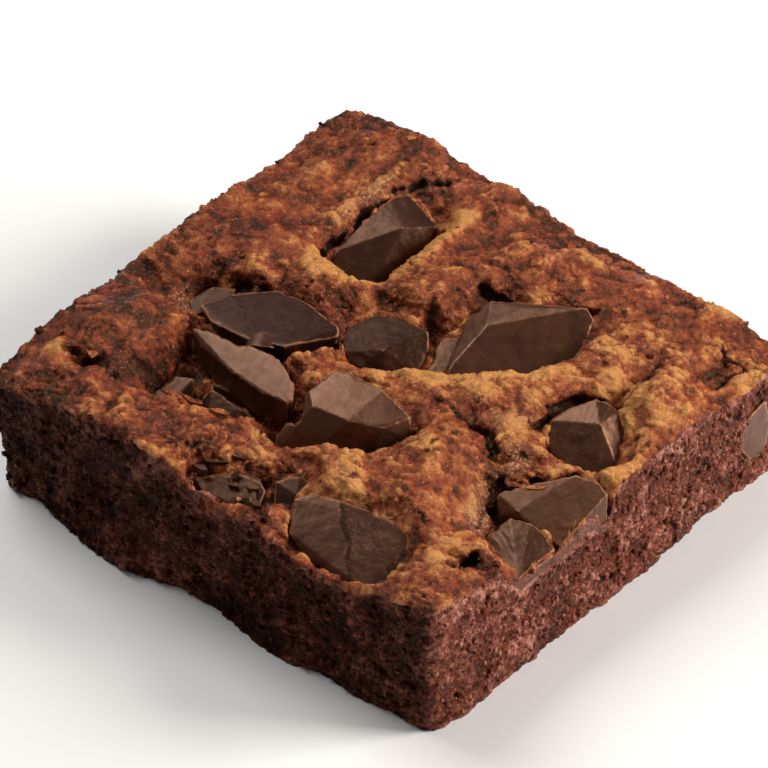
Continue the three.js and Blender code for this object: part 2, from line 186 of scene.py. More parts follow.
class Plan:
    """A raster over the plan, and readings from it between its points."""

    def __init__(self, half):
        self.low = np.array([-half[0], -half[1]])
        self.nx, self.ny = (int(2 * h / RASTER) + 1 for h in half)

    def grid(self):
        """x and y at each of the raster's points."""
        return np.meshgrid(
            self.low[0] + RASTER * np.arange(self.nx), self.low[1] + RASTER * np.arange(self.ny),
            indexing="ij")

    def look_down(self, tree):
        """Height and upward slope of what a ray from above meets, or nan."""
        height = np.full((self.nx, self.ny), np.nan)
        upright = np.zeros((self.nx, self.ny))
        x, y = self.grid()
        for spot in np.ndindex(x.shape):
            hit, normal, _, _ = tree.ray_cast(Vector((x[spot], y[spot], 60)), Vector((0, 0, -1)))
            if hit:
                height[spot], upright[spot] = hit.z, normal.z
        return height, upright

    def at(self, values, x, y):
        u = np.clip((x - self.low[0]) / RASTER, 0, self.nx - 1.001)
        v = np.clip((y - self.low[1]) / RASTER, 0, self.ny - 1.001)
        i, j = u.astype(int), v.astype(int)
        a, b = u - i, v - j
        return (
            values[i, j] * (1 - a) * (1 - b) + values[i + 1, j] * a * (1 - b)
            + values[i, j + 1] * (1 - a) * b + values[i + 1, j + 1] * a * b)


def filled(values, known):
    """values where known, and elsewhere a spread of the nearest known ones."""
    out = np.where(known, values, 0.0)
    done = known.copy()
    for cells in (1, 2, 4, 8, 16, 32):
        weight = blurred(known.astype(float), cells)
        spread = blurred(np.where(known, values, 0.0), cells) / np.maximum(weight, 1e-9)
        fresh = ~done & (weight > 0.02)
        out[fresh] = spread[fresh]
        done |= fresh
    return out


def distance_from(mask):
    """Distance in mm to the nearest cell of the mask, up to a few mm."""
    far = np.where(mask, 0.0, NOTHING)
    for _ in range(24):
        padded = np.pad(far, 1, "edge")
        for a, b in product((0, 1, 2), repeat=2):
            beside = padded[a:a + far.shape[0], b:b + far.shape[1]]
            far = np.minimum(far, beside + RASTER * math.hypot(a - 1, b - 1))
    return far


LOW, HIGH = (np.array(corner) / MM for corner in CAD_BOX)
HALF = (HIGH - LOW)[:2] / 2
plan = Plan(HALF + 1.5)
slab_tree = tree_of([SLAB])
chunk_tree = tree_of(CHUNKS)

slab_top, slab_upright = plan.look_down(slab_tree)
chunk_top, _ = plan.look_down(chunk_tree)
under_chunk = np.isfinite(chunk_top) & ~(slab_top > chunk_top)
outside_chunks = distance_from(under_chunk)
inside_chunks = distance_from(~under_chunk)
crust_known = (slab_upright > 0.3) & (slab_top > 12) & (outside_chunks > 0.5)
crust_level = blurred(filled(np.nan_to_num(slab_top), crust_known), 0.7 / RASTER)
chunk_level = filled(np.nan_to_num(chunk_top), under_chunk)


# -------- the crust's cracks and colours

# Cracks and gaps: points in plan, half width and depth.
CRACKS = [
    ([(-20.9, 11.5), (-20.6, 19), (-20.2, 26.5)], 0.35, 1.8),
    ([(-19.2, 27.4), (-17.6, 29.4), (-15.6, 30.6)], 0.5, 0.9),
    ([(-11.4, 25.4), (-10.8, 22.0), (-10.9, 18.0)], 0.4, 1.6),
    ([(27.6, 20.5), (28.6, 16.5), (28.2, 12.6)], 0.45, 1.6),
    ([(11.0, -2.6), (15.5, -3.4), (20.0, -3.0), (23.5, -6.6), (27.0, -8.6)], 0.45, 1.3),
    ([(22.3, 2.4), (22.2, 6.4), (24.6, 11.0), (27.6, 12.4)], 0.45, 1.6),
    ([(33.2, 9.4), (35.0, 5.0), (33.0, 1.4)], 0.4, 1.6),
    ([(26.0, -9.6), (29.2, -5.0), (32.4, -1.0)], 0.45, 1.6),
    ([(11.9, -8.0), (12.4, -11.2), (11.0, -14.0)], 0.6, 1.3),
    ([(1.4, 17.4), (4.4, 18.2), (9.0, 19.0), (14.2, 24.0)], 0.5, 1.2),
    ([(-24.4, -0.6), (-18.0, 1.0), (-12.0, 1.2), (-6.4, 0.2)], 0.6, 1.2),
    ([(-30.0, -25.4), (-26.0, -24.6), (-22.6, -26.0)], 0.6, 1.4),
    ([(32.6, -22.6), (33.6, -21.2), (35.6, -20.6)], 0.8, 2.2),
    ([(31.6, -25.0), (32.8, -24.2)], 0.6, 1.6),
    ([(36.2, -23.4), (36.6, -21.4)], 0.6, 1.4),
]
# Narrow crests: points in plan, half width and rise.
CRESTS = [
    ([(-10.2, 27), (-9.2, 19), (-9.4, 12.4), (-12.4, 8.4), (-18.4, 7.4)], 1.3, 0.6),
    ([(19.2, 12), (14.2, 6), (9.0, 1.4), (5.0, -1.4)], 1.1, 0.4),
    ([(10.2, -17), (12.0, -20), (14.0, -23)], 1.2, 0.5),
    ([(-22.8, 16), (-22.6, 23), (-21.6, 29)], 1.2, 0.4),
    ([(-33.0, -26), (-24.0, -29.4), (-14.0, -29.8)], 1.0, 0.4),
]
# Where the crust is painted lighter and golden: points in plan, half width and strength.
GOLDEN = [
    ([(-9.6, 30), (-9.0, 19), (-9.6, 12), (-13, 7.6), (-20, 7)], 2.2, 0.9),
    ([(-5, 28), (-8, 14), (0, 8)], 2.4, 0.5),
    ([(22, 12), (14.4, 5.6), (8.4, 0.6), (3.4, -3)], 2.8, 0.9),
    ([(10, -2), (20, -1), (26, 4)], 3.4, 0.7),
    ([(9, -8), (12, -14), (16, -20), (22, -26)], 3.6, 0.7),
    ([(16, -8), (24, -15), (30, -26)], 3.4, 0.6),
    ([(22, 20), (32, 12), (37, 4)], 4.6, 1.0),
    ([(30, 4), (36, -4)], 2.6, 0.7),
    ([(-38, 10), (-31, 13), (-25, 22)], 4.2, 0.9),
    ([(-36, 20), (-30, 30), (-22, 24)], 4.2, 0.7),
    ([(-38, -1), (-34, -4), (-31, -4)], 2.2, 1.1),
    ([(6, -24), (12, -30), (22, -34)], 3.0, 0.5),
]
# Where the crust is painted darker and redder: points in plan, half width and strength.
REDDER = [
    ([(-33, -11), (-30, -15), (-25, -20), (-20, -25)], 4.6, 0.9),
    ([(-24, -28), (-10, -26), (0, -25)], 3.6, 0.7),
    ([(-14, 4), (-8, 22)], 2.2, 0.4),
    ([(6, -28), (14, -33)], 3.0, 0.5),
    ([(2, -12), (8, -22)], 2.6, 0.4),
]
# Where a pale sheen of painted reflected light lies on the crust: points in plan, half width and
# strength.
PAINTED_SHEEN = [
    ([(24.5, -3), (26, -9), (27.5, -15)], 1.7, 0.9),
    ([(-22.6, 15), (-22.2, 21), (-21.8, 27)], 0.7, 0.8),
    ([(-29.6, -5.2), (-27.4, -8.6)], 1.2, 0.7),
    ([(-21, -9), (-19, -14)], 1.6, 0.5),
    ([(22, 3), (19, -1)], 1.3, 0.5),
]
# Where the crust is torn off and the crumb shows: middle and radius.
TORN = [((-2.0, -33.4), 3.6), ((35.0, -21.8), 3.2), ((13.0, -21.0), 0.9), ((7.4, -32.6), 2.4)]


def distance_to_line(p, points):
    """Distance in plan from each point to a line of straight steps."""
    near = np.full(len(p), NOTHING)
    for a, b in zip(np.array(points[:-1]), np.array(points[1:])):
        t = np.clip(((p[:, :2] - a) @ (b - a)) / ((b - a) @ (b - a)), 0, 1)
        near = np.minimum(near, np.linalg.norm(p[:, :2] - a - t[:, None] * (b - a), axis=1))
    return near


def line_at(p, points, half_width, power=2):
    """1 on a line of straight steps, fading out past its half width."""
    return np.exp(-(distance_to_line(p, points) / half_width) ** power)


def strokes(p, lines):
    """The strongest of some soft-edged lines at each point."""
    out = np.zeros(len(p))
    for points, half_width, strength in lines:
        out = np.maximum(out, strength * line_at(p, points, half_width))
    return out


# Hollows round the chocolate: points in plan, half width and depth.
HOLLOWS = [
    ([(-18, -18.9), (-12.6, -18.2), (-7.8, -17.5)], 2.2, 1.8),
    ([(-3.4, -3.8), (1.4, 0.3), (3.3, 5.3)], 1.5, 1.6),
    ([(24.8, -8.9), (28.9, -12.8)], 1.3, 1.8),
    ([(-28.1, -3.8), (-22.4, -7.3)], 1.4, 1.2),
    ([(-0.8, 10.2), (4.2, 5.3)], 1.2, 1.6),
    ([(-35, -6), (-28, -8.6)], 1.6, 0.9),
    ([(23.4, -5.5), (28.0, -2.0), (32.5, 2.0)], 1.1, 1.6),
]
# Where crumb clings under the edge of the thin slab of chocolate.
BANK = [(-5.9, -1.0), (-5.2, -2.4), (-8.5, -8.8)]
BANK_WIDTH, BANK_DROP = 1.1, 1.0
SWELLING = 0.45  # how much more the crust heaves than the solid

# How deep each kind of relief is, in mm.
FOLDS, WRINKLES, FINE, TINY = 0.75, 0.36, 0.2, 0.12
CREASES, PITS, SCALES = 0.24, 0.3, 0.34
SPLITS, HOLES = 0.6, 0.5


def heaved(level):
    """The crust's level with its heaves, hollows and banks."""
    level = level + SWELLING * (level - blurred(level, 5 / RASTER))
    x, y = plan.grid()
    spots = np.stack([x.ravel(), y.ravel(), 0 * x.ravel()], 1)
    spots = warped(spots, 3, 0.7, 91)
    for points, half_width, depth in HOLLOWS:
        level = level - depth * line_at(spots, points, half_width).reshape(x.shape)
    near = line_at(spots, BANK, BANK_WIDTH).reshape(x.shape)
    return level + near * np.maximum(0, chunk_level - BANK_DROP - level)


def crust_folds(p, bent):
    """The crust's folds, wrinkles, grain and lapping scales, in mm."""
    along = bent * (0.6, 1.0, 1.0)
    across = bent * (1.0, 0.55, 1.0)
    share = ramp(noise(p, 16, 110), -0.3, 0.3)
    folds = share * pillows(along, 4.2, 2, 111) + (1 - share) * pillows(across, 4.6, 2, 121)
    wrinkles = pillows(warped(p, 2.5, 0.6, 131), 1.9, 2, 134)
    fine = pillows(warped(p, 1.2, 0.3, 137), 0.95, 2, 139)
    rough = 0.3 + 0.7 * ramp(fractal(p, 6, 2, 140), -0.35, 0.35)
    tiny = pillows(warped(p, 0.7, 0.2, 143), 0.55, 1, 146)
    scales = fractal(bent, 9, 3, 141) * 5
    step = scales - np.floor(scales)
    relief = FOLDS * (folds - 0.5) + WRINKLES * (wrinkles - 0.5)
    relief += rough * (FINE * (fine - 0.5) + TINY * (tiny - 0.4))
    return relief + SCALES * (0.5 - step) * ramp(noise(p, 9, 151), -0.1, 0.4)


def creases_and_pits(p):
    """Narrow creases and small pits, each 0 to 1."""
    creased = np.abs(fractal(warped(p, 2.5, 0.5, 191) * (0.7, 1, 1), 2.8, 2, 194)) / 0.07
    creased = np.exp(-creased**2) * ramp(noise(p, 5, 197), -0.3, 0.3)
    pits = ramp(noise(warped(p, 1.2, 0.3, 201), 1.1, 204), 0.4, 0.75)
    return creased, pits * ramp(noise(p, 6, 207), -0.2, 0.3)


def splits_and_holes(p, bent, wander):
    """Long splits and ragged holes, each 0 to 1."""
    split = np.abs(fractal(bent, 8, 2, 161)) / 0.035
    split = np.exp(-split**2) * ramp(noise(p, 11, 162), 0.3, 0.6)
    holes = ramp(fractal(wander, 3.0, 3, 171), 0.62, 0.9)
    return split, holes * ramp(noise(p, 9, 174), -0.1, 0.3)


def crust_relief(p):
    """How far the crust stands out of the smooth slab, and how open it is, with its creases and
    pits counted as painted shade, 0 to 1.
    """
    bent = warped(p, 7, 1.6, 101)
    wander = warped(warped(warped(p, 2.2, 0.5, 181), 1.0, 0.3, 184), 0.5, 0.12, 187)
    creased, pits = creases_and_pits(p)
    split, holes = splits_and_holes(p, bent, wander)
    relief = crust_folds(p, bent) - CREASES * creased - PITS * pits
    depth = SPLITS * split + HOLES * holes
    # Creases and pits join the openings, so that they are painted dark as shade
    opening = np.max([split, holes, 0.5 * creased, 0.7 * pits], axis=0)
    closing = ramp(noise(p, 2.6, 190), -0.55, 0.1)
    for points, half_width, deep in CRACKS:
        line = closing * line_at(wander, points, half_width, 4)
        depth += deep * line
        opening = np.maximum(opening, line)
    for points, half_width, rise in CRESTS:
        relief += rise * line_at(wander, points, half_width)
    return relief - depth, opening


def crumb_relief(p):
    """How far the torn crumb stands out of the smooth cut side."""
    bent = warped(p, 3, 0.6, 201)
    lumps = 0.45 * fractal(p, 5, 2, 211)
    coarse = 0.6 * (0.55 - grains(bent, 1.6, 221))
    fine = 0.45 * (0.55 - grains(warped(p, 1, 0.2, 225), 0.85, 231))
    dust = 0.14 * noise(p, 0.45, 235)
    holes = 0.9 * ramp(fractal(p * (1, 1, 1.5), 2.4, 3, 241), 0.42, 0.85)
    return lumps + coarse + fine + dust - holes


# -------- the slab's skin

def to_mesh(name, points, faces):
    mesh = bpy.data.meshes.new(name)
    mesh.from_pydata(points, [], faces)
    mesh.update()
    return mesh


def points_of(mesh, what="co"):
    out = np.empty(3 * len(mesh.vertices))
    mesh.vertices.foreach_get(what, out)
    return out.reshape(-1, 3)


def normals_of(mesh):
    return points_of(mesh, "normal")


def set_points(mesh, p):
    mesh.vertices.foreach_set("co", np.ascontiguousarray(p).ravel())
    mesh.update()


def paint(mesh, **layers):
    """Keeps numbers for each vertex, which a material reads by name."""
    for name, values in layers.items():
        mesh.attributes.new(name, "FLOAT", "POINT").data.foreach_set(
            "value", np.ascontiguousarray(values, dtype=np.float32))


def linked(name, data):
    """A new object, in the scene."""
    thing = bpy.data.objects.new(name, data)
    bpy.context.scene.collection.objects.link(thing)
    return thing


def piece(name, mesh, slot, *nodes):
    """An object in metres that stands for CAD nodes, shaded smooth."""
    set_points(mesh, points_of(mesh) * MM)
    mesh.shade_smooth()
    thing = linked(name, mesh)
    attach(thing, "root")
    if nodes:
        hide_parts(*nodes)
    return thing


crust_level = heaved(crust_level)
NX, NY = (round(2 * half / STEP) for half in HALF)
SQUARE_X = np.linspace(-HALF[0], HALF[0], NX + 1)
SQUARE_Y = np.linspace(-HALF[1], HALF[1], NY + 1)
EDGE = [(i, 0) for i in range(NX)] + [(NX, j) for j in range(NY)]
EDGE += [(NX - i, NY - j) for i, j in EDGE]
EDGE_I, EDGE_J = np.array(EDGE).T

SOCKET_WIDTH = 9.0  # the widest hollow in a wall that is filled
EDGE_SLOPE = 0.028  # how far in the wall may lean at the rim, as a share
LOOK_FROM = 70.0  # how far out the wall is looked at from
RIM_LOOK, RIM_INSET = 13.0, 1.2  # the height that places the rim, and how far in it is read
CUT = "chunk_cut"
SIDE_TREES = [slab_tree, tree_of([name for name in CHUNKS if name != CUT]), tree_of([CUT])]


def wrapped_blur(values, cells):
    """values blurred along a closed loop of rows, and down the columns."""
    reach = int(3 * cells) + 1
    looped = np.concatenate([values[-reach:], values, values[:reach]])
    return blurred(looped, cells)[reach:-reach]


def closed(values, cells):
    """values with narrow dips filled, round the loop and down the columns."""
    for sign in (1, -1):
        shifted = [np.roll(values, n, axis=0) * sign for n in range(-cells, cells + 1)]
        values = np.max(shifted, axis=0)
        padded = np.pad(values, ((0, 0), (cells, cells)), "edge")
        values = sign * np.max(
            [padded[:, n:n + values.shape[1]] for n in range(2 * cells + 1)], axis=0)
    return values


def look_in(turns, square, heights):
    """How far out the wall is at each turn and height, as a share of the square's, with
    narrow sockets filled, and what is there: 0 for crumb, 1 for a chunk, 2 for a cut one."""
    distance = np.zeros(heights.shape)
    kind = np.zeros(heights.shape, int)
    for k, turn in enumerate(turns):
        inward = Vector((-math.cos(turn), -math.sin(turn), 0))
        for m, z in enumerate(heights[k]):
            start = Vector((0, 0, z)) - inward * LOOK_FROM
            hits = [tree.ray_cast(start, inward)[3] or NOTHING for tree in SIDE_TREES]
            distance[k, m] = LOOK_FROM - min(hits)
            kind[k, m] = int(np.argmin(hits))
    share = distance / square[:, None]
    full = closed(share, round(SOCKET_WIDTH / 2 / STEP))
    share = np.where(full - share > 0.02, full, share)
    third = share.shape[1] // 3
    return np.maximum(share, share[:, third:third + 1] - EDGE_SLOPE), kind


def rim_heights(turns, square):
    """The crust's height along the rim."""
    wall, _ = look_in(turns, square, np.full((len(EDGE), 1), RIM_LOOK))
    out = wall[:, 0] * square - RIM_INSET
    x, y = out * np.cos(turns), out * np.sin(turns)
    rim = plan.at(crust_level, x, y)
    over_chunk = plan.at(under_chunk.astype(float), x, y) > 0.5
    rim = np.where(over_chunk, np.minimum(rim, plan.at(chunk_level, x, y) - 0.3), rim)
    return wrapped_blur(rim[:, None], 1.2 / STEP)[:, 0]


def rounding(inward):
    """How far the skin drops at a distance in from the rim, which rounds it."""
    return 0.35 * np.exp(-inward / 0.8)


def top_grid(turns, square, reach, rim):
    """The crust's points, and how far in from the rim each is."""
    order = np.argsort(turns)
    x, y = np.meshgrid(SQUARE_X, SQUARE_Y, indexing="ij")
    turn = np.arctan2(y, x)
    out = np.maximum(abs(x) / HALF[0], abs(y) / HALF[1])
    wide = np.interp(turn, turns[order], (reach[:, 0] / square)[order], period=2 * math.pi)
    scale = 1 + (wide - 1) * out**3
    x, y = x * scale, y * scale
    top = np.stack([x, y, plan.at(crust_level, x, y)], -1)
    inward = np.minimum.outer(HALF[0] - abs(SQUARE_X), HALF[1] - abs(SQUARE_Y))
    top[EDGE_I, EDGE_J, 2] = rim
    top[..., 2] -= rounding(inward)
    return top, inward


def side_grid(turns, reach, rim, heights):
    """The sides' points by turn and by row. The last row is on the floor."""
    x, y = reach * np.cos(turns)[:, None], reach * np.sin(turns)[:, None]
    side = np.stack([x, y, heights - rounding(rim[:, None] - heights)], -1)[:, 1:]
    side[:, -1, 2] = 0
    return side


def skin_faces():
    """Faces of the top, the sides and the base, whose middle is the last point."""
    i, j = np.meshgrid(np.arange(NX), np.arange(NY), indexing="ij")
    corner = (i * (NY + 1) + j).ravel()
    faces = np.stack([corner, corner + NY + 1, corner + NY + 2, corner + 1], 1).tolist()
    count, loop = (NX + 1) * (NY + 1), len(EDGE)
    rows = np.concatenate([
        [EDGE_I * (NY + 1) + EDGE_J], count + np.arange(ROWS * loop).reshape(ROWS, loop)])
    after = np.roll(rows, -1, axis=1)
    for m in range(ROWS):
        faces += np.stack([rows[m + 1], after[m + 1], after[m], rows[m]], 1).tolist()
    middle = count + ROWS * loop
    faces += [[middle, b, a] for a, b in zip(rows[-1], after[-1])]
    return faces


def skin():
    """The slab's smooth skin: points, faces, each point's distance in from the rim, and
    what it covers at the side."""
    turns = np.array([math.atan2(SQUARE_Y[j], SQUARE_X[i]) for i, j in EDGE])
    square = np.array([math.hypot(SQUARE_X[i], SQUARE_Y[j]) for i, j in EDGE])
    rim = rim_heights(turns, square)
    heights = rim[:, None] * (1 - np.arange(ROWS + 1) / ROWS)
    share, kind = look_in(turns, square, np.clip(heights, 0.3, rim[:, None] - 0.9))
    reach = wrapped_blur(share * square[:, None], 0.7 / STEP)
    top, inward = top_grid(turns, square, reach, rim)
    side = side_grid(turns, reach, rim, heights)
    points = np.concatenate([
        top.reshape(-1, 3), side.transpose(1, 0, 2).reshape(-1, 3), [[0, 0, 0]]])
    in_from_rim = np.concatenate([
        inward.ravel(), (heights - rim[:, None])[:, 1:].T.ravel(), [-NOTHING]])
    covers = np.concatenate([np.zeros(inward.size, int), kind[:, 1:].T.ravel(), [0]])
    return points, skin_faces(), in_from_rim, covers


SMEAR = (-20.5, 2.0)  # along y, where the knife dragged chocolate over the +X side
SMEAR_DEPTH = 2.1


def smear_at(points, inward):
    """How much of the dragged chocolate there is at each point, 0 to 1."""
    ragged = 0.5 * noise(points * (1, 0.4, 1), 2.2, 341)
    ragged = ragged + 0.25 * noise(points * (1, 0.5, 1), 0.8, 342)
    y = points[:, 1]
    along = ramp(y, SMEAR[0], SMEAR[0] + 3) * ramp(-y, -SMEAR[1], 3 - SMEAR[1])
    upper = ramp(-inward + ragged, 0.1, 0.4)
    down = upper * ramp(inward + SMEAR_DEPTH * along + ragged, 0, 0.3)
    return np.where(points[:, 0] > HALF[0] - 3, down * ramp(along, 0.2, 0.5), 0)


def crust_share(points, inward):
    """How much of each point is crust and not bare crumb, 0 to 1."""
    torn = np.zeros(len(points))
    for (x, y), radius in TORN:
        torn = np.maximum(torn, 1 - np.hypot(points[:, 0] - x, points[:, 1] - y) / radius)
    ragged = inward + 0.9 * noise(points, 3.2, 301) + 0.4 * noise(points, 1.1, 302)
    kept = 1 - ramp(torn + 0.35 * noise(points, 1.6, 303), 0.2, 0.4)
    return ramp(ragged, -0.7, 0.05) * kept


def lip_at(points, top):
    """Where the crust stands up beside a piece of chocolate, 0 to 1."""
    beside = np.where(top, plan.at(outside_chunks, points[:, 0], points[:, 1]), 9)
    return np.exp(-((beside - 0.55) / 0.5) ** 2) * ramp(noise(points, 4, 304), -0.2, 0.35)


def golden_at(points, lip):
    """How golden the crust is at each point. Below 0 it is dark and red."""
    swell = crust_level - blurred(crust_level, 3.2 / RASTER)
    bent = warped(points, 4, 1.4, 311)
    golden = strokes(bent, GOLDEN) - strokes(bent, REDDER) + 0.2 * lip
    # Swells are painted lighter, as highlight
    golden += 0.55 * plan.at(swell, points[:, 0], points[:, 1])
    # Lighter towards +x: a painted pool of light from the right
    return golden + 0.012 * points[:, 0]


def below_chunks(rough, top):
    """Heights that keep out of sight under the chocolate, but creep over its foot."""
    x, y = rough[:, 0], rough[:, 1]
    covered = plan.at(under_chunk.astype(float), x, y) > 0.5
    depth_in = plan.at(inside_chunks, x, y)
    roof = plan.at(chunk_level, x, y) - 0.5 + 1.1 * np.exp(-depth_in / 0.5)
    return np.where(top & covered, np.minimum(rough[:, 2], roof), rough[:, 2])


def slab_piece():
    points, faces, inward, covers = skin()
    mesh = to_mesh(SLAB, points, faces)
    outward = normals_of(mesh)
    top = inward >= 0
    crust = crust_share(points, inward)
    fold, opening = crust_relief(points)
    lip = lip_at(points, top)
    relief = crust * (fold + 0.15 + 0.5 * lip) + (1 - crust) * crumb_relief(points)
    relief = np.where(covers == 1, np.maximum(relief, 0.3), relief)
    smear = smear_at(points, inward)
    streaks = 0.3 + 0.12 * noise(points * (1, 0.3, 1), 0.9, 331)
    relief += smear * (streaks - relief)

    base = points[:, 2] <= 0.01
    outward[base, 2] = 0
    rough = points + outward * relief[:, None]
    rough[:, 2] = np.where(base, 0, np.maximum(rough[:, 2], 0.02))
    rough[-1] = 0
    rough[:, 2] = below_chunks(rough, top)
    behind_cut = covers == 2
    rough[behind_cut, :2] -= (outward[:, :2] * (relief + 0.6)[:, None])[behind_cut]
    set_points(mesh, rough)

    paint(
        # A band of painted light on the walls just below the rim
        mesh, smear=smear, under_rim=ramp(inward, -3.6, -0.4) * (inward < 0),
        # How far each wall faces the lamps, which picks between painted light and painted shade on
        # the crumb
        lit_side=ramp(outward[:, 0] + 0.35 * outward[:, 1], -0.75, 0.75), crust=crust,
        golden=np.where(top, golden_at(points, lip), 0), raised=relief, opening=opening * crust,
        # Where a pale sheen of reflected light is painted
        glazed=np.where(top, strokes(warped(points, 3, 1, 321), PAINTED_SHEEN), 0))
    return piece("slab", mesh, "crumb", SLAB)


# -------- loose bits

CRUMBS = 3200
CRUMB_SIZE = (0.2, 0.55)


def ball():
    """Points and triangles of a rough unit ball."""
    made = bmesh.new()
    bmesh.ops.create_icosphere(made, subdivisions=1, radius=1)
    points = np.array([v.co[:] for v in made.verts])
    faces = np.array([[v.index for v in f.verts] for f in made.faces])
    made.free()
    return points, faces


def painted_on(mesh, name):
    """The numbers that paint kept."""
    out = np.empty(len(mesh.vertices), np.float32)
    mesh.attributes[name].data.foreach_get("value", out)
    return out


def crumbs_piece(slab):
    """Loose crumbs stuck to the cut sides."""
    rng = np.random.default_rng(11)
    mesh = slab.data
    p, outward = points_of(mesh) / MM, normals_of(mesh)
    crust, side, smear = (painted_on(mesh, name) for name in ("crust", "lit_side", "smear"))
    bare = np.flatnonzero((crust < 0.5) & (p[:, 2] > 0.8) & (smear < 0.1))
    chosen = rng.choice(bare, CRUMBS, replace=False)
    points, faces = ball()
    size = CRUMB_SIZE[0] + (CRUMB_SIZE[1] - CRUMB_SIZE[0]) * rng.random(CRUMBS) ** 3
    stretch = size[:, None] * rng.uniform(0.6, 1.3, (CRUMBS, 3))
    lumps = 1 + 0.25 * rng.standard_normal((CRUMBS, len(points), 1)).clip(-1, 1)
    middles = p[chosen] + outward[chosen] * 0.15 * size[:, None]
    all_points = middles[:, None] + points[None] * lumps * stretch[:, None]
    all_faces = faces[None] + len(points) * np.arange(CRUMBS)[:, None, None]
    crumbs = to_mesh("crumbs", all_points.reshape(-1, 3), all_faces.reshape(-1, 3).tolist())
    each = len(points)
    # Each crumb takes the painted light or shade of the wall it sits on
    paint(crumbs, raised=np.repeat(rng.uniform(-0.2, 0.5, CRUMBS), each),
          lit_side=np.repeat(side[chosen], each))
    return piece("crumbs", crumbs, "crumb")


CORNERS = 9  # of a plate
LONG_PLATE = 2  # a longer one lies level, and a shorter one follows the crust


def resting(slab, x, y, on_chunks=False):
    """Where something dropped on the crust at x, y would lie, in mm, and the normal there."""
    down = slab.ray_cast(Vector((x * MM, y * MM, 0.06)), Vector((0, 0, -1)))
    place = np.array(down[1]) / MM
    if on_chunks and plan.at(inside_chunks, x, y) > 0.2:
        place[2] = max(place[2], plan.at(chunk_level, x, y))
    return place, np.array(down[2])


def plate_axes(turn, tilt, normal):
    """Unit vectors along, across and out of a plate."""
    ahead = np.array((math.cos(turn), math.sin(turn), math.tan(math.radians(tilt))))
    ahead -= normal * (ahead @ normal) * 0.7
    ahead /= np.linalg.norm(ahead)
    across = np.cross(normal, ahead)
    across /= np.linalg.norm(across)
    return ahead, across, np.cross(ahead, across)


def plate_outline(rng, length, width):
    """A broken outline's offsets along and across a plate, and how far it curls up."""
    angles = np.sort(rng.uniform(0, 2 * math.pi, CORNERS) * 0.35
                     + np.arange(CORNERS) * 2 * math.pi / CORNERS * 0.65)
    reach = rng.uniform(0.75, 1.1, CORNERS)
    u = np.cos(angles) * reach * length / 2
    v = np.sin(angles) * reach * width / 2
    return u, v, 0.12 * (u / (length / 2)) ** 2 * length * rng.uniform(-0.4, 0.6)


def plate_faces(start):
    """Faces of a plate whose points begin at start: two rings, then their middles."""
    faces = []
    top, bottom = start + 2 * CORNERS, start + 2 * CORNERS + 1
    for n in range(CORNERS):
        a, b = start + n, start + (n + 1) % CORNERS
        c, d = a + CORNERS, b + CORNERS
        faces += [[top, a, b], [bottom, d, c], [a, c, d], [a, d, b]]
    return faces


def plates(name, slab, spots, thickness, slot, seed, lift=0.2, on_chunks=False):
    """Thin broken plates lying on the crust. A spot is x, y, turn, length, width and tilt."""
    rng = np.random.default_rng(seed)
    points, faces, raised = [], [], []
    for x, y, turn, length, width, tilt in spots:
        place, normal = resting(slab, x, y, on_chunks)
        turn = math.radians(turn)
        step = 0.35 * length * np.array((math.cos(turn), math.sin(turn)))
        ends = [resting(slab, x + n * step[0], y + n * step[1], on_chunks)[0] for n in (-1, 1)]
        place[2] = max(place[2], 0.5 * (ends[0][2] + ends[1][2]))
        if length > LONG_PLATE:
            normal = np.array((0, 0, 1.0))
        ahead, across, above = plate_axes(turn, tilt, normal)
        u, v, curl = plate_outline(rng, length, width)
        faces += plate_faces(len(points))
        for height in (lift + thickness, lift):
            ring = place + u[:, None] * ahead + v[:, None] * across
            points += (ring + (curl + height)[:, None] * above).tolist()
        points += [(place + above * (lift + thickness)).tolist(), (place + above * lift).tolist()]
        raised += [rng.uniform(-0.3, 0.3)] * (2 * CORNERS + 2)
    mesh = to_mesh(name, points, faces)
    raised = np.array(raised)
    whole = np.ones(len(points))
    paint(mesh, raised=raised, crust=whole, golden=0.5 * whole, edge=raised + 0.15)
    thing = piece(name, mesh, slot)
    mesh.shade_flat()
    return thing


# Shards of crust, and slivers of chocolate that also lie on the flaky piece at the left:
# x, y, turn, length, width and tilt.
SHARDS = [
    (-15.2, -21.6, 10, 6.0, 1.0, 3), (-12.0, -22.6, 2, 5.0, 0.8, -4),
    (-9.2, -21.4, -6, 4.2, 1.1, 5), (-13.6, -20.4, 16, 4.0, 0.7, 7),
    (-7.4, -22.8, 12, 3.2, 0.9, 0), (-18.4, -22.4, -8, 3.4, 1.2, 6),
    (-30.6, -24.6, 30, 2.8, 1.6, 12), (-27.4, -24.2, 4, 3.0, 1.2, 8),
    (25.8, -10.6, 50, 3.4, 0.9, 6), (30.0, -6.0, 36, 3.0, 0.8, 8),
]
SLIVERS = [
    (3.4, -29.1, -20, 2.6, 1.3, 18), (4.6, -30.4, -55, 2.8, 1.2, -14),
    (5.2, -27.8, 20, 2.2, 1.1, 14), (6.2, -31.6, -35, 2.6, 1.0, 10),
    (1.8, -27.8, 10, 3.6, 1.4, -12), (7.6, -28.2, 45, 1.8, 1.0, 16),
    (-0.6, -27.2, -8, 3.4, 0.9, 12), (1.2, -30.2, -30, 3.2, 1.2, 8),
    (-2.4, -29.4, 24, 3.8, 1.0, -10), (3.0, -31.4, 60, 2.0, 0.9, -16),
    (-3.6, -31.0, -6, 2.8, 1.2, 12), (0.4, -28.8, 70, 1.6, 0.9, 20),
    (-19.6, -17.6, 30, 3.2, 1.4, 12), (-16.8, -19.6, -14, 2.6, 1.0, -8),
    (-9.4, -18.6, 24, 2.8, 1.2, 10),
]
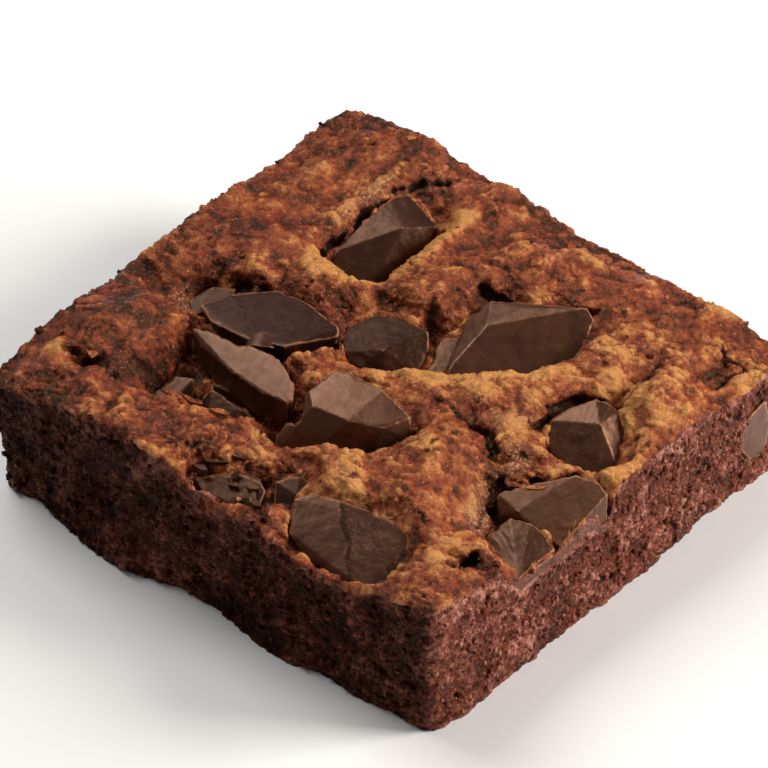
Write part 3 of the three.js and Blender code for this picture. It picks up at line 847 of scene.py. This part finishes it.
# Bigger lumps of chocolate, half melted, in the hollow before the left piece.
LUMPS = [
    (-15.2, -18.4, 12, 7.0, 3.6, -6), (-9.6, -17.6, 4, 5.6, 3.4, 6),
    (-10.4, -14.2, 12, 10.5, 1.8, -2), (-18.6, -19.4, -20, 4.0, 2.6, 10),
    (-5.2, -15.4, 40, 3.0, 2.0, -8),
]
FLAKES = 70


def flakes_piece(slab):
    """Small papery flakes of the crust."""
    rng = np.random.default_rng(23)
    spots = []
    while len(spots) < FLAKES:
        x, y = rng.uniform(-1, 1, 2) * (HALF - 2)
        if plan.at(outside_chunks, x, y) < 0.6:
            continue
        where = noise(np.array([[x, y, 0]]), 10, 401)[0]
        if rng.random() > 0.5 + where:
            continue
        size = rng.uniform(0.4, 1.2)
        spots.append((x, y, rng.uniform(0, 180), size * 1.5, size, rng.uniform(-16, 16)))
    return plates("flakes", slab, spots, 0.1, "crumb", 24, lift=0.02)


# The curl's middle, the directions that it curls along and lies across, and its size.
CURL_MIDDLE = np.array((-12.6, -9.4, 20.0))
CURL_ALONG = np.array((0.86, 0.5, 0.05))
CURL_ACROSS = np.array((-0.5, 0.86, 0.0))
CURL_UP = np.array((0, 0, 0.55))
CURL_RADIUS, CURL_WIDTH, CURL_THICK = 2.0, 2.8, 0.35
CURL_ROWS, CURL_COLUMNS = 25, 13


def curl_points():
    """Points of the curl's outer face, then of its inner one, by row and column."""
    points = []
    for out in (CURL_RADIUS, CURL_RADIUS - CURL_THICK):
        for turn in np.radians(np.linspace(15, 165, CURL_ROWS)):
            for step in np.linspace(-0.5, 0.5, CURL_COLUMNS):
                ragged = 1 + 0.03 * math.sin(7 * turn + 5 * step)
                narrow = CURL_WIDTH * math.sqrt(1 - 0.8 * math.cos(turn) ** 2) * ragged
                points.append(
                    CURL_MIDDLE + CURL_ACROSS * step * narrow
                    + CURL_ALONG * out * math.cos(turn) + CURL_UP * out * math.sin(turn))
    return points


def curl_rim():
    """The numbers of the outer face's rim points, in order round it."""
    grid = np.arange(CURL_ROWS * CURL_COLUMNS).reshape(CURL_ROWS, CURL_COLUMNS)
    sides = [grid[0], grid[1:, -1], grid[-1, -2::-1], grid[-2:0:-1, 0]]
    return np.concatenate(sides).tolist()


def curl_piece():
    """A shaving curled up between the slab of chocolate and the one before it."""
    points, rim = curl_points(), curl_rim()
    count = CURL_ROWS * CURL_COLUMNS
    faces = []
    for n in range(CURL_ROWS - 1):
        for k in range(CURL_COLUMNS - 1):
            a = n * CURL_COLUMNS + k
            b = a + CURL_COLUMNS
            faces += [[a, a + 1, b + 1, b], [count + q for q in (a, b, b + 1, a + 1)]]
    for a, b in zip(rim, rim[1:] + rim[:1]):
        faces.append([b, a, count + a, count + b])
    mesh = to_mesh("curl", [p.tolist() for p in points], faces)
    at_rim = np.zeros(len(points))
    at_rim[rim] = 0.8
    paint(mesh, edge=at_rim, tone=np.full(len(points), 0.1))
    return piece("curl", mesh, "chocolate")


# -------- the chocolate

CELL = 0.24  # of the grid that a piece is remade on


def neighbour_mean(mesh, values):
    """The mean of each vertex's neighbours' values. values is (n, width)."""
    pairs = np.empty(2 * len(mesh.edges), np.int64)
    mesh.edges.foreach_get("vertices", pairs)
    a, b = pairs.reshape(-1, 2).T
    total = np.zeros_like(values)
    count = np.zeros(len(values))
    for here, there in ((a, b), (b, a)):
        for column in range(values.shape[1]):
            total[:, column] += np.bincount(here, values[there, column], len(values))
        count += np.bincount(here, minlength=len(values))
    return total / np.maximum(count, 1)[:, None]


# How each piece broke: roughness of its sides and of its top in mm, and the point that its
# ripples spread from, their spacing and their depth.
BREAKS = {
    "chunk_back": (0.10, 0.08, (-13, 34, 22), 1.7, 0.05),
    "chunk_slab": (0.06, 0.02, None, 1, 0),
    "chunk_left": (0.08, 0.02, None, 1, 0),
    "chunk_front": (0.10, 0.02, None, 1, 0),
    "chunk_low": (0.18, 0.15, None, 1, 0),
    "chunk_wedge": (0.12, 0.10, None, 1, 0),
    "chunk_right": (0.08, 0.03, (-6, 18, 24), 2.6, 0.03),
    "chunk_far_right": (0.08, 0.06, (38, 14, 18), 0.8, 0.05),
    "chunk_edge": (0.14, 0.14, (24, 0, 20), 0.7, 0.04),
    "chunk_edge_small": (0.10, 0.08, (26, -28, 16), 0.7, 0.05),
    "chunk_corner": (0.05, 0.035, None, 1, 0),
}
OTHERS = (0.09, 0.06, None, 1, 0)
# How much lighter than the rest a piece of chocolate is.
TONES = {
    "chunk_back": -0.12, "chunk_slab": -0.2, "chunk_cut": 0.35, "chunk_low": -0.4,
    # The hidden piece is painted darker, as the shade it lies in
    "chunk_hidden": -0.4, "chunk_left": 0.05, "chunk_front": 0.2, "chunk_wedge": 0.1,
    "chunk_right": 0.2, "chunk_far_right": 0.1, "chunk_flake": -0.2, "chunk_sliver": -0.2,
    "chunk_leaf": -0.1, "chunk_sunk": -0.2, "chunk_corner": -0.05,
}
# The corner piece is finely grained beyond this line in plan.
GRAINED = "chunk_corner"
GRAIN_LINE = ((12.9, -23.6), (22.5, -32.4))


def beyond_line(p, line, width):
    """How far to the left of a line in plan each point is, 0 to 1 over a width."""
    (ax, ay), (bx, by) = line
    across = (p[:, 0] - ax) * (ay - by) + (p[:, 1] - ay) * (bx - ax)
    return ramp(across / math.hypot(bx - ax, by - ay), -width / 2, width / 2)


def fine_mesh(name):
    """A CAD node's mesh in mm, remade with small even facets."""
    vertices, polygons = mesh_of([name])
    hull = linked(name + "_hull", to_mesh(name + "_hull", vertices, polygons))
    remesh = hull.modifiers.new("fine", "REMESH")
    remesh.mode = "SHARP"
    across = np.ptp(np.array(vertices), axis=0).max()
    remesh.octree_depth = math.ceil(math.log2(across / (0.9 * CELL)))
    remesh.scale = across / (CELL * 2**remesh.octree_depth)
    remesh.use_remove_disconnected = False
    ready = hull.evaluated_get(bpy.context.evaluated_depsgraph_get())
    mesh = bpy.data.meshes.new_from_object(ready)
    bpy.data.objects.remove(hull)
    return mesh


def edges_at(mesh, p, outward):
    """How near each vertex is to a piece's edge, 0 to 1."""
    bend = ((p - neighbour_mean(mesh, p)) * outward).sum(1)[:, None]
    for _ in range(2):
        bend = 0.5 * bend + 0.5 * neighbour_mean(mesh, bend)
    return ramp(bend[:, 0], 0.008, 0.04)


def break_relief(p, outward, how, seed):
    """How far a broken face stands out, in mm, and how rough it is."""
    side_rough, top_rough, ripples_from, spacing, depth = how
    facing_up = ramp(outward[:, 2], 0.72, 0.86)
    coarse = side_rough + (top_rough - side_rough) * facing_up
    relief = coarse * (0.6 * fractal(p, 3.4, 2, seed) + 0.6 * fractal(p, 1.3, 3, seed + 3, 0.7))
    if ripples_from:
        away = np.linalg.norm(warped(p, 5, 0.8, seed + 2) - ripples_from, axis=1)
        wave = np.abs(np.sin(away * math.pi / spacing))
        relief += depth * (0.6 - wave) * ramp(noise(p, 4, seed + 5), -0.3, 0.4)
    return relief, coarse


def chunk_piece(name):
    seed = 400 + 10 * CHUNKS.index(name)
    mesh = fine_mesh(name)
    p = points_of(mesh)
    p = 0.7 * p + 0.3 * neighbour_mean(mesh, p)
    set_points(mesh, p)
    outward = normals_of(mesh)
    edge = edges_at(mesh, p, outward)
    relief, coarse = break_relief(p, outward, BREAKS.get(name, OTHERS), seed)
    relief -= 0.16 * edge * ramp(noise(p, 1.3, seed + 6), 0.0, 0.5)
    set_points(mesh, p + outward * relief[:, None])
    grained = beyond_line(warped(p, 3, 0.5, seed + 7), GRAIN_LINE, 1.0)
    paint(mesh, edge=edge, broken=ramp(coarse, 0.04, 0.14) * (name in BREAKS),
          tone=np.full(len(p), TONES.get(name, 0.0)), grained=grained * (name == GRAINED))
    return piece(name + "_dark", mesh, "chocolate", name)


# -------- materials

class Nodes:
    """A new material's node tree, and short ways to add to it."""

    def __init__(self, name):
        self.material = bpy.data.materials.new(name)
        self.material.use_nodes = True
        self.tree = self.material.node_tree
        self.shader = self.tree.nodes["Principled BSDF"]
        self.place = self.add("ShaderNodeTexCoord").outputs["Object"]

    def add(self, kind, **settings):
        node = self.tree.nodes.new(kind)
        for key, value in settings.items():
            setattr(node, key, value)
        return node

    def join(self, out, into):
        self.tree.links.new(out, into)

    def feed(self, socket, value):
        """Sets a socket, or links it if the value is another node's."""
        if isinstance(value, bpy.types.NodeSocket):
            self.join(value, socket)
        else:
            socket.default_value = value

    def put(self, node, **values):
        """Sets or links a node's inputs by name, with _ for a space."""
        for key, value in values.items():
            self.feed(node.inputs[key.replace("_", " ")], value)
        return node

    def noise(self, size_mm, detail=3.0, rough=0.55, warp=0.0):
        node = self.add("ShaderNodeTexNoise")
        self.put(node, Vector=self.place, Scale=1 / (size_mm * MM), Detail=detail,
                 Roughness=rough, Distortion=warp)
        return node.outputs["Fac"]

    def painted(self, name):
        return self.add("ShaderNodeAttribute", attribute_name=name).outputs["Fac"]

    def sum(self, a, b, weight=1.0):
        """a + weight * b."""
        node = self.add("ShaderNodeMath", operation="MULTIPLY_ADD")
        for socket, value in zip(node.inputs, (b, weight, a)):
            self.feed(socket, value)
        return node.outputs[0]

    def total(self, base, *parts):
        """base plus each value times its weight."""
        for value, weight in parts:
            base = self.sum(base, value, weight)
        return base

    def cells(self, size_mm):
        """A tone for each of many small cells, and the distance from a cell's middle."""
        node = self.add("ShaderNodeTexVoronoi")
        self.put(node, Vector=self.place, Scale=1 / (size_mm * MM))
        return node.outputs["Color"], node.outputs["Distance"]

    def ramp(self, value, *stops):
        """Colours or greys at positions, blended between."""
        node = self.add("ShaderNodeValToRGB")
        points = node.color_ramp.elements
        while len(points) < len(stops):
            points.new(0.5)
        for point, (position, colour) in zip(points, stops):
            point.position = position
            point.color = (*colour, 1) if isinstance(colour, tuple) else (colour,) * 3 + (1,)
        self.join(value, node.inputs["Fac"])
        return node.outputs["Color"]

    def mix(self, share, a, b):
        node = self.add("ShaderNodeMix", data_type="RGBA")
        for n, value in ((0, share), (6, a), (7, b)):
            self.feed(node.inputs[n], (*value, 1) if isinstance(value, tuple) else value)
        return node.outputs[2]

    def bump(self, height, depth_mm, below=None):
        node = self.add("ShaderNodeBump")
        self.put(node, Height=height, Strength=1.0, Distance=depth_mm * MM)
        if below is not None:
            self.join(below, node.inputs["Normal"])
        return node.outputs["Normal"]


def rgb(r, g, b):
    """Linear colour of an sRGB one given in 0 to 255."""
    return tuple(
        c / 12.92 if c <= 0.04045 else ((c + 0.055) / 1.055) ** 2.4
        for c in (v / 255 for v in (r, g, b)))


def crust_colour(m, raised):
    # Raised parts are painted lighter and hollows darker: painted highlight and shade
    tone = m.total(
        -0.55, (m.noise(4.0, 4, 0.6, 0.4), 1.0), (m.noise(1.1, 3), 0.6), (m.noise(0.4, 3), 0.4),
        (raised, 0.65), (m.painted("golden"), 0.17))
    colour = m.ramp(
        tone, (0.22, rgb(50, 13, 7)), (0.36, rgb(92, 30, 16)), (0.5, rgb(126, 51, 29)),
        (0.66, rgb(156, 80, 44)), (0.88, rgb(208, 142, 80)))
    # Painted glints: small bright highlights, denser where the sheen is painted
    painted_glints = m.total(-0.06, (m.noise(0.4, 3, 0.6), 1.0), (m.painted("glazed"), 0.14))
    painted_glints = m.ramp(painted_glints, (0.57, 0.0), (0.67, 0.7))
    # A pale sheen painted on some slopes, as reflected light
    colour = m.mix(m.sum(0.0, m.painted("glazed"), 0.5), colour, rgb(118, 80, 68))
    colour = m.mix(painted_glints, colour, rgb(222, 172, 118))
    # Small dark specks of painted shade, as in tiny pits
    specks = m.ramp(m.noise(0.7, 3, 0.6), (0.28, 0.6), (0.36, 0.0))
    colour = m.mix(specks, colour, rgb(66, 18, 9))
    # Cracks and holes show dark crumb, and creases and pits are painted dark as shade
    return m.mix(m.painted("opening"), colour, rgb(32, 10, 6))


def crumb_colour(m, raised, side):
    coarse, _ = m.cells(0.8)
    small, _ = m.cells(0.4)
    # The crumb's hollows are painted darker, as shade
    grain = m.total(
        -0.3, (coarse, 0.3), (small, 0.35), (m.noise(3.5, 2), 0.5), (m.noise(0.5, 3), 0.5),
        (raised, 0.5))
    # Walls just below the rim are painted lighter and redder, as light from above
    grain = m.sum(grain, m.painted("under_rim"), 0.22)
    # Painted shade and painted light: a shaded and a lit copy of the crumb's colour, blended by
    # which way the side faces
    shaded_crumb = m.ramp(
        grain, (0.2, rgb(20, 7, 4)), (0.5, rgb(40, 17, 11)), (0.75, rgb(70, 27, 17)),
        (0.95, rgb(112, 60, 45)))
    lit = m.ramp(
        grain, (0.15, rgb(34, 7, 4)), (0.4, rgb(84, 27, 18)), (0.65, rgb(126, 58, 43)),
        (0.9, rgb(192, 132, 114)))
    return m.mix(side, shaded_crumb, lit)


def slab_material():
    m = Nodes("crust_and_crumb")
    raised, crust, side = m.painted("raised"), m.painted("crust"), m.painted("lit_side")
    body = m.mix(crust, crumb_colour(m, raised, side), crust_colour(m, raised))
    smear_colour = m.ramp(m.noise(1.4, 4, 0.6), (0.35, rgb(84, 44, 34)), (0.65, rgb(128, 80, 66)))
    m.put(m.shader, Base_Color=m.mix(m.painted("smear"), body, smear_colour))
    shine = m.ramp(m.noise(1.0, 4, 0.65), (0.35, 0.12), (0.65, 0.34))
    gloss = m.mix(crust, m.mix(side, (0.02,) * 3, (0.6,) * 3), (0.6,) * 3)
    m.put(m.shader, Roughness=shine, Specular_IOR_Level=gloss, Specular_Tint=(1, 0.56, 0.3, 1))
    _, grain = m.cells(0.5)
    fine = m.bump(m.noise(0.3, 4, 0.7, 0.3), 0.2)
    bare = m.sum(1.0, crust, -1.0)
    grainy = m.bump(m.mix(bare, (0.5,) * 3, grain), -0.2, fine)
    m.put(m.shader, Normal=m.bump(m.noise(0.9, 4, 0.6, 1.2), 0.42, grainy))
    return m.material


def chocolate_material():
    m = Nodes("dark_chocolate")
    edge = m.painted("edge")
    grained = m.painted("grained")
    cloud = m.total(
        0.0, (m.noise(3.0, 4, 0.6, 0.3), 1.0), (m.painted("broken"), 0.35),
        (m.painted("tone"), 1.0), (grained, 0.3))
    body = m.ramp(
        cloud, (0.1, rgb(24, 10, 7)), (0.35, rgb(40, 20, 14)), (0.6, rgb(54, 30, 21)),
        (0.95, rgb(80, 50, 35)))
    specks = m.ramp(m.noise(0.5, 2, 0.5), (0.68, 0.0), (0.76, 0.4))
    body = m.mix(specks, body, rgb(122, 88, 70))
    worn = m.sum(edge, m.noise(1.0, 3, 0.6), 0.5)
    worn = m.ramp(worn, (0.52, 0.0), (0.95, 0.75))
    m.put(m.shader, Base_Color=m.mix(worn, body, rgb(146, 98, 70)))
    shine = m.ramp(m.noise(1.2, 4, 0.6), (0.3, 0.24), (0.7, 0.38))
    m.put(m.shader, Roughness=m.sum(shine, m.painted("broken"), 0.14),
          Specular_IOR_Level=m.sum(0.6, m.painted("tone"), 0.9),
          Specular_Tint=(1.0, 0.5, 0.29, 1))
    fine = m.bump(m.noise(0.35, 4, 0.65), 0.025)
    fine = m.bump(m.sum(0.0, m.noise(1.3, 5, 0.75, 0.6), grained), 0.9, fine)
    m.put(m.shader, Normal=m.bump(m.noise(1.6, 3, 0.5), 0.03, fine))
    return m.material


# -------- the scene

FLOOR_REACH, FLOOR_TONE = 3, 0.86
# Each lamp's place and size in metres, power in watts and colour.
LAMPS = {
    "key": ((-0.489, 0.104, 0.688), 0.54, 5.3, (1, 0.97, 0.93)),
    "right": ((0.58, 0.5, 0.4), 0.35, 9.5, (1, 0.95, 0.9)),
}
ROOM_LIGHT = 0.17


def floor():
    r = FLOOR_REACH
    mesh = to_mesh("floor", [(-r, -r, 0), (r, -r, 0), (r, r, 0), (-r, r, 0)], [(0, 1, 2, 3)])
    ground = linked("floor", mesh)
    m = Nodes("floor")
    m.put(m.shader, Base_Color=(FLOOR_TONE, FLOOR_TONE, FLOOR_TONE, 1), Roughness=0.8)
    mesh.materials.append(m.material)


def lamp(name, place, size, power, colour):
    """A soft square lamp at a place in metres, turned to the brownie."""
    light = bpy.data.lights.new(name, "AREA")
    light.size, light.energy, light.color = size, power, colour
    thing = linked(name, light)
    thing.location = place
    thing.rotation_euler = (-Vector(place)).to_track_quat("-Z", "Y").to_euler()


def lights():
    for name, how in LAMPS.items():
        lamp(name, *how)
    world = bpy.data.worlds.new("studio")
    world.use_nodes = True
    background = world.node_tree.nodes["Background"]
    background.inputs["Color"].default_value = (1, 1, 1, 1)
    background.inputs["Strength"].default_value = ROOM_LIGHT
    bpy.context.scene.world = world


def camera():
    a, e = math.radians(VIEW_AZIMUTH), math.radians(VIEW_ELEVATION)
    back = Vector((math.sin(a) * math.cos(e), -math.cos(a) * math.cos(e), math.sin(e)))
    data = bpy.data.cameras.new("camera")
    data.lens, data.sensor_width = VIEW_LENS, 36
    data.clip_start, data.clip_end = 0.01, 10
    thing = linked("camera", data)
    thing.location = (Vector(VIEW_TARGET) + back * VIEW_DISTANCE) * MM
    thing.rotation_mode = "QUATERNION"
    thing.rotation_quaternion = (-back).to_track_quat("-Z", "Y")
    bpy.context.scene.camera = thing


def loose_bits(slab, crust, chocolate):
    """All that lies on the slab and isn't a CAD node."""
    crumbs_piece(slab).data.materials.append(crust)
    bpy.context.view_layer.update()
    laid = [
        (plates("shards", slab, SHARDS, 0.35, "crumb", 21, lift=0.35), crust),
        (plates("slivers", slab, SLIVERS, 0.5, "chocolate", 22, on_chunks=True), chocolate),
        (plates("lumps", slab, LUMPS, 1.0, "chocolate", 25, lift=0.1), chocolate),
        (flakes_piece(slab), crust),
        (curl_piece(), chocolate),
    ]
    for thing, look in laid:
        thing.data.materials.append(look)


def main():
    slab = slab_piece()
    crust, chocolate = slab_material(), chocolate_material()
    slab.data.materials.append(crust)
    loose_bits(slab, crust, chocolate)
    for name in CHUNKS:
        chunk_piece(name).data.materials.append(chocolate)
    floor()
    lights()
    camera()
    bpy.context.scene.view_settings.view_transform = "Standard"


main()
